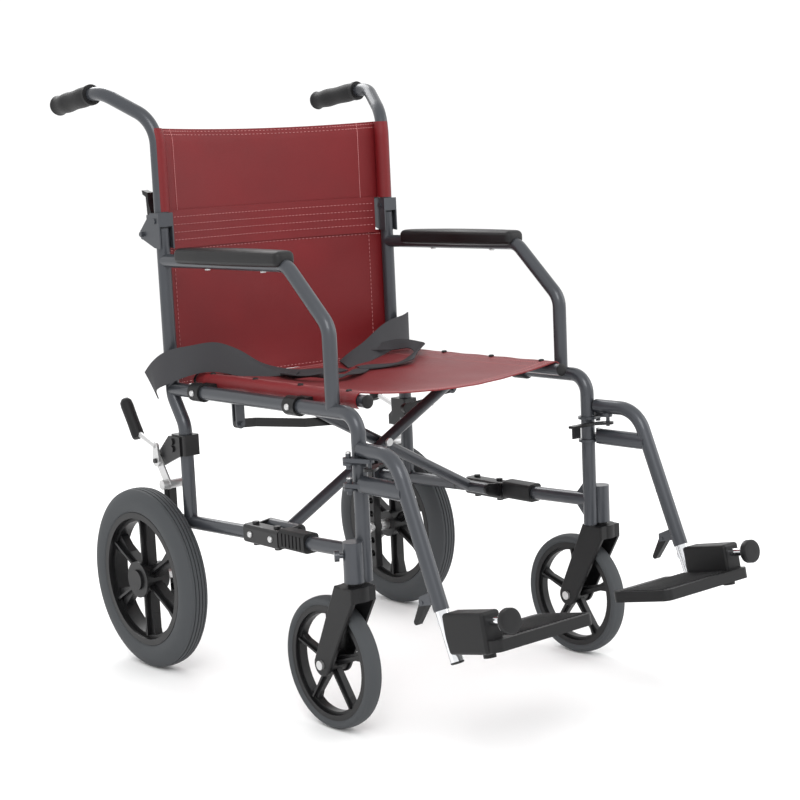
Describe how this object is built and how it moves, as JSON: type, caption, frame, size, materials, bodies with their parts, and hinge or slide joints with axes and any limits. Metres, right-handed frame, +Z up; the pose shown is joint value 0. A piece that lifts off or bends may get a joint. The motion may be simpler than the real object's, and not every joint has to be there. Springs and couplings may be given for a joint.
{
  "type": "manual wheelchair",
  "caption": "Folding transport wheelchair with sling seat, cross braces, half-folding back, swing-away leg rests, flip-up foot plates and push handles.",
  "frame": {"origin": "on the floor, midway between the foot end and the push grips, on the centre plane", "axes": "+Z up; the sitter faces -Y; the sitter's left is +X"},
  "size_m": [0.599, 1.0485, 0.9716],
  "materials": {
    "frame_paint": "satin",
    "pad_black": "matte",
    "black_plastic": "matte",
    "black_steel": "satin",
    "zinc": "satin",
    "chrome": "polished",
    "tyre": "matte",
    "wheel_plastic": "matte",
    "grip_rubber": "matte",
    "plate_plastic": "matte",
    "webbing": "matte",
    "seat_nylon": "satin",
    "back_nylon": "satin"
  },
  "bodies": {
    "right_frame": {"side_frame_right": "frame_paint", "armrest_pad_right": "pad_black", "seat_saddles_right": "black_plastic", "axle_bar_right": "black_steel", "rear_axle_right": "zinc", "brake_clamp_right": "zinc", "brace_bracket_right": "black_steel", "rail_clip_right": "black_plastic", "back_sling_lower": "back_nylon"},
    "left_frame": {"side_frame_left": "frame_paint", "armrest_pad_left": "pad_black", "seat_saddles_left": "black_plastic", "axle_bar_left": "black_steel", "rear_axle_left": "zinc", "brake_clamp_left": "zinc", "brace_bracket_left": "black_steel", "rail_clip_left": "black_plastic"},
    "brace_a": {"brace_left_rail": "frame_paint", "centre_bolt": "zinc", "seat_sling": "seat_nylon", "belt_left": "webbing"},
    "brace_b": {"brace_right_rail": "frame_paint", "belt_right": "webbing"},
    "rear_wheel_left": {"rear_tyre_left": "tyre", "rear_wheel_left": "wheel_plastic"},
    "brake_lever_left": {"brake_lever_left": "black_steel"},
    "brake_shoe_left": {"brake_shoe_left": "zinc"},
    "caster_fork_left": {"caster_fork_left": "black_plastic", "caster_axle_left": "zinc"},
    "caster_wheel_left": {"caster_wheel_left": "wheel_plastic", "caster_tyre_left": "tyre"},
    "back_left": {"back_cane_left": "frame_paint", "hand_grip_left": "grip_rubber"},
    "back_release_left": {"back_release_left": "black_plastic"},
    "hanger_left": {"hanger_left": "frame_paint"},
    "hanger_latch_left": {"hanger_latch_left": "black_steel"},
    "leg_extension_left": {"leg_extension_left": "chrome"},
    "cam_lever_left": {"cam_lever_left": "black_plastic"},
    "footplate_rod_left": {"footplate_rod_left": "chrome"},
    "footplate_left": {"footplate_left": "plate_plastic"},
    "fold_link_left": {"fold_link_left": "black_steel"},
    "rear_wheel_right": {"rear_tyre_right": "tyre", "rear_wheel_right": "wheel_plastic"},
    "brake_lever_right": {"brake_lever_right": "black_steel"},
    "brake_shoe_right": {"brake_shoe_right": "zinc"},
    "caster_fork_right": {"caster_fork_right": "black_plastic", "caster_axle_right": "zinc"},
    "caster_wheel_right": {"caster_wheel_right": "wheel_plastic", "caster_tyre_right": "tyre"},
    "back_right": {"back_cane_right": "frame_paint", "hand_grip_right": "grip_rubber", "back_sling_upper": "back_nylon"},
    "back_release_right": {"back_release_right": "black_plastic"},
    "hanger_right": {"hanger_right": "frame_paint"},
    "hanger_latch_right": {"hanger_latch_right": "black_steel"},
    "leg_extension_right": {"leg_extension_right": "chrome"},
    "cam_lever_right": {"cam_lever_right": "black_plastic"},
    "footplate_rod_right": {"footplate_rod_right": "chrome"},
    "footplate_right": {"footplate_right": "plate_plastic"},
    "fold_link_right": {"fold_link_right": "black_steel"}
  },
  "joints": [
    {"name": "fold", "type": "hinge", "parent": "right_frame", "child": "brace_a", "pos_m": [-0.2, 0.03973, 0.268], "axis": [0, -1, 0], "range_deg": [0, 41.5], "deforming": ["seat_sling", "back_sling_upper", "back_sling_lower", "belt_left", "belt_right"]},
    {"name": "fold_cross", "type": "hinge", "parent": "brace_a", "child": "brace_b", "pos_m": [0, 0.03973, 0.3765], "axis": [0, -1, 0], "range_deg": [-83.5, 0]},
    {"name": "fold_frame", "type": "hinge", "parent": "brace_b", "child": "left_frame", "pos_m": [0.2, 0.03973, 0.268], "axis": [0, -1, 0], "range_deg": [0, 42]},
    {"name": "rear_wheel_left", "type": "hinge", "parent": "left_frame", "child": "rear_wheel_left", "pos_m": [0.2705, 0.33773, 0.1525], "axis": [1, 0, 0], "continuous": true},
    {"name": "caster_swivel_left", "type": "hinge", "parent": "left_frame", "child": "caster_fork_left", "pos_m": [0.258, -0.20327, 0.25], "axis": [0, 0, 1], "continuous": true},
    {"name": "caster_wheel_left", "type": "hinge", "parent": "caster_fork_left", "child": "caster_wheel_left", "pos_m": [0.258, -0.14327, 0.1], "axis": [1, 0, 0], "continuous": true},
    {"name": "brake_lever_left", "type": "hinge", "parent": "left_frame", "child": "brake_lever_left", "pos_m": [0.258, 0.31073, 0.353], "axis": [1, 0, 0], "range_deg": [0, 50]},
    {"name": "brake_shoe_left", "type": "hinge", "parent": "left_frame", "child": "brake_shoe_left", "pos_m": [0.255, 0.31073, 0.353], "axis": [1, 0, 0], "range_deg": [0, 22.5]},
    {"name": "back_fold_left", "type": "hinge", "parent": "left_frame", "child": "back_left", "pos_m": [0.236, 0.32073, 0.726], "axis": [-1, 0, 0], "range_deg": [0, 110]},
    {"name": "back_release_left", "type": "hinge", "parent": "back_left", "child": "back_release_left", "pos_m": [0.236, 0.30773, 0.75], "axis": [1, 0, 0], "range_deg": [0, 12], "stiffness_Nm_per_rad": 0.25, "springref_deg": -11.46},
    {"name": "hanger_swing_left", "type": "hinge", "parent": "left_frame", "child": "hanger_left", "pos_m": [0.258, -0.20327, 0.39], "axis": [0, 0, 1], "range_deg": [0, 90]},
    {"name": "hanger_latch_left", "type": "hinge", "parent": "hanger_left", "child": "hanger_latch_left", "pos_m": [0.246, -0.23627, 0.398], "axis": [0, 0, 1], "range_deg": [0, 18], "stiffness_Nm_per_rad": 0.2, "springref_deg": -11.46},
    {"name": "leg_length_left", "type": "slide", "parent": "hanger_left", "child": "leg_extension_left", "axis": [0, -0.3849, -0.9229], "range_m": [0, 0.0555]},
    {"name": "cam_lever_left", "type": "hinge", "parent": "hanger_left", "child": "cam_lever_left", "pos_m": [0.2485, -0.34927, 0.2255], "axis": [1, 0, 0], "range_deg": [0, 80]},
    {"name": "foot_rod_turn_left", "type": "hinge", "parent": "leg_extension_left", "child": "footplate_rod_left", "pos_m": [0.2485, -0.38727, 0.204], "axis": [0, 0.9816, -0.1908], "range_deg": [0, 91]},
    {"name": "footplate_flip_left", "type": "hinge", "parent": "footplate_rod_left", "child": "footplate_left", "pos_m": [0.2485, -0.38727, 0.204], "axis": [0, 0.9816, -0.1908], "range_deg": [0, 90]},
    {"name": "fold_link_left", "type": "hinge", "parent": "left_frame", "child": "fold_link_left", "pos_m": [0.224, 0.11573, 0.429], "axis": [0, 1, 0], "range_deg": [0, 66.64]},
    {"name": "rear_wheel_right", "type": "hinge", "parent": "right_frame", "child": "rear_wheel_right", "pos_m": [-0.2705, 0.33773, 0.1525], "axis": [1, 0, 0], "continuous": true},
    {"name": "caster_swivel_right", "type": "hinge", "parent": "right_frame", "child": "caster_fork_right", "pos_m": [-0.258, -0.20327, 0.25], "axis": [0, 0, -1], "continuous": true},
    {"name": "caster_wheel_right", "type": "hinge", "parent": "caster_fork_right", "child": "caster_wheel_right", "pos_m": [-0.258, -0.14327, 0.1], "axis": [1, 0, 0], "continuous": true},
    {"name": "brake_lever_right", "type": "hinge", "parent": "right_frame", "child": "brake_lever_right", "pos_m": [-0.258, 0.31073, 0.353], "axis": [1, 0, 0], "range_deg": [0, 50]},
    {"name": "brake_shoe_right", "type": "hinge", "parent": "right_frame", "child": "brake_shoe_right", "pos_m": [-0.255, 0.31073, 0.353], "axis": [1, 0, 0], "range_deg": [0, 22.5]},
    {"name": "back_fold_right", "type": "hinge", "parent": "right_frame", "child": "back_right", "pos_m": [-0.236, 0.32073, 0.726], "axis": [-1, 0, 0], "range_deg": [0, 110]},
    {"name": "back_release_right", "type": "hinge", "parent": "back_right", "child": "back_release_right", "pos_m": [-0.236, 0.30773, 0.75], "axis": [1, 0, 0], "range_deg": [0, 12], "stiffness_Nm_per_rad": 0.25, "springref_deg": -11.46},
    {"name": "hanger_swing_right", "type": "hinge", "parent": "right_frame", "child": "hanger_right", "pos_m": [-0.258, -0.20327, 0.39], "axis": [0, 0, -1], "range_deg": [0, 90]},
    {"name": "hanger_latch_right", "type": "hinge", "parent": "hanger_right", "child": "hanger_latch_right", "pos_m": [-0.246, -0.23627, 0.398], "axis": [0, 0, -1], "range_deg": [0, 18], "stiffness_Nm_per_rad": 0.2, "springref_deg": -11.46},
    {"name": "leg_length_right", "type": "slide", "parent": "hanger_right", "child": "leg_extension_right", "axis": [0, -0.3849, -0.9229], "range_m": [0, 0.0555]},
    {"name": "cam_lever_right", "type": "hinge", "parent": "hanger_right", "child": "cam_lever_right", "pos_m": [-0.2485, -0.34927, 0.2255], "axis": [1, 0, 0], "range_deg": [0, 80]},
    {"name": "foot_rod_turn_right", "type": "hinge", "parent": "leg_extension_right", "child": "footplate_rod_right", "pos_m": [-0.2485, -0.38727, 0.204], "axis": [0, -0.9816, 0.1908], "range_deg": [0, 91]},
    {"name": "footplate_flip_right", "type": "hinge", "parent": "footplate_rod_right", "child": "footplate_right", "pos_m": [-0.2485, -0.38727, 0.204], "axis": [0, -0.9816, 0.1908], "range_deg": [0, 90]},
    {"name": "fold_link_right", "type": "hinge", "parent": "right_frame", "child": "fold_link_right", "pos_m": [-0.224, 0.11573, 0.429], "axis": [0, -1, 0], "range_deg": [0, 66.64]}
  ],
  "couplings": [
    {"joint": "fold_cross", "follows": "fold", "ratio": -2},
    {"joint": "fold_frame", "follows": "fold", "ratio": 1},
    {"joint": "brake_shoe_left", "follows": "brake_lever_left", "ratio": 0.44},
    {"joint": "foot_rod_turn_left", "follows": "fold", "ratio": 2.1687},
    {"joint": "fold_link_left", "follows": "fold", "ratio": 1.5938},
    {"joint": "brake_shoe_right", "follows": "brake_lever_right", "ratio": 0.44},
    {"joint": "foot_rod_turn_right", "follows": "fold", "ratio": 2.1687},
    {"joint": "fold_link_right", "follows": "fold", "ratio": 1.5938},
    {"joint": "back_fold_left", "follows": "back_fold_right", "ratio": 1}
  ]
}
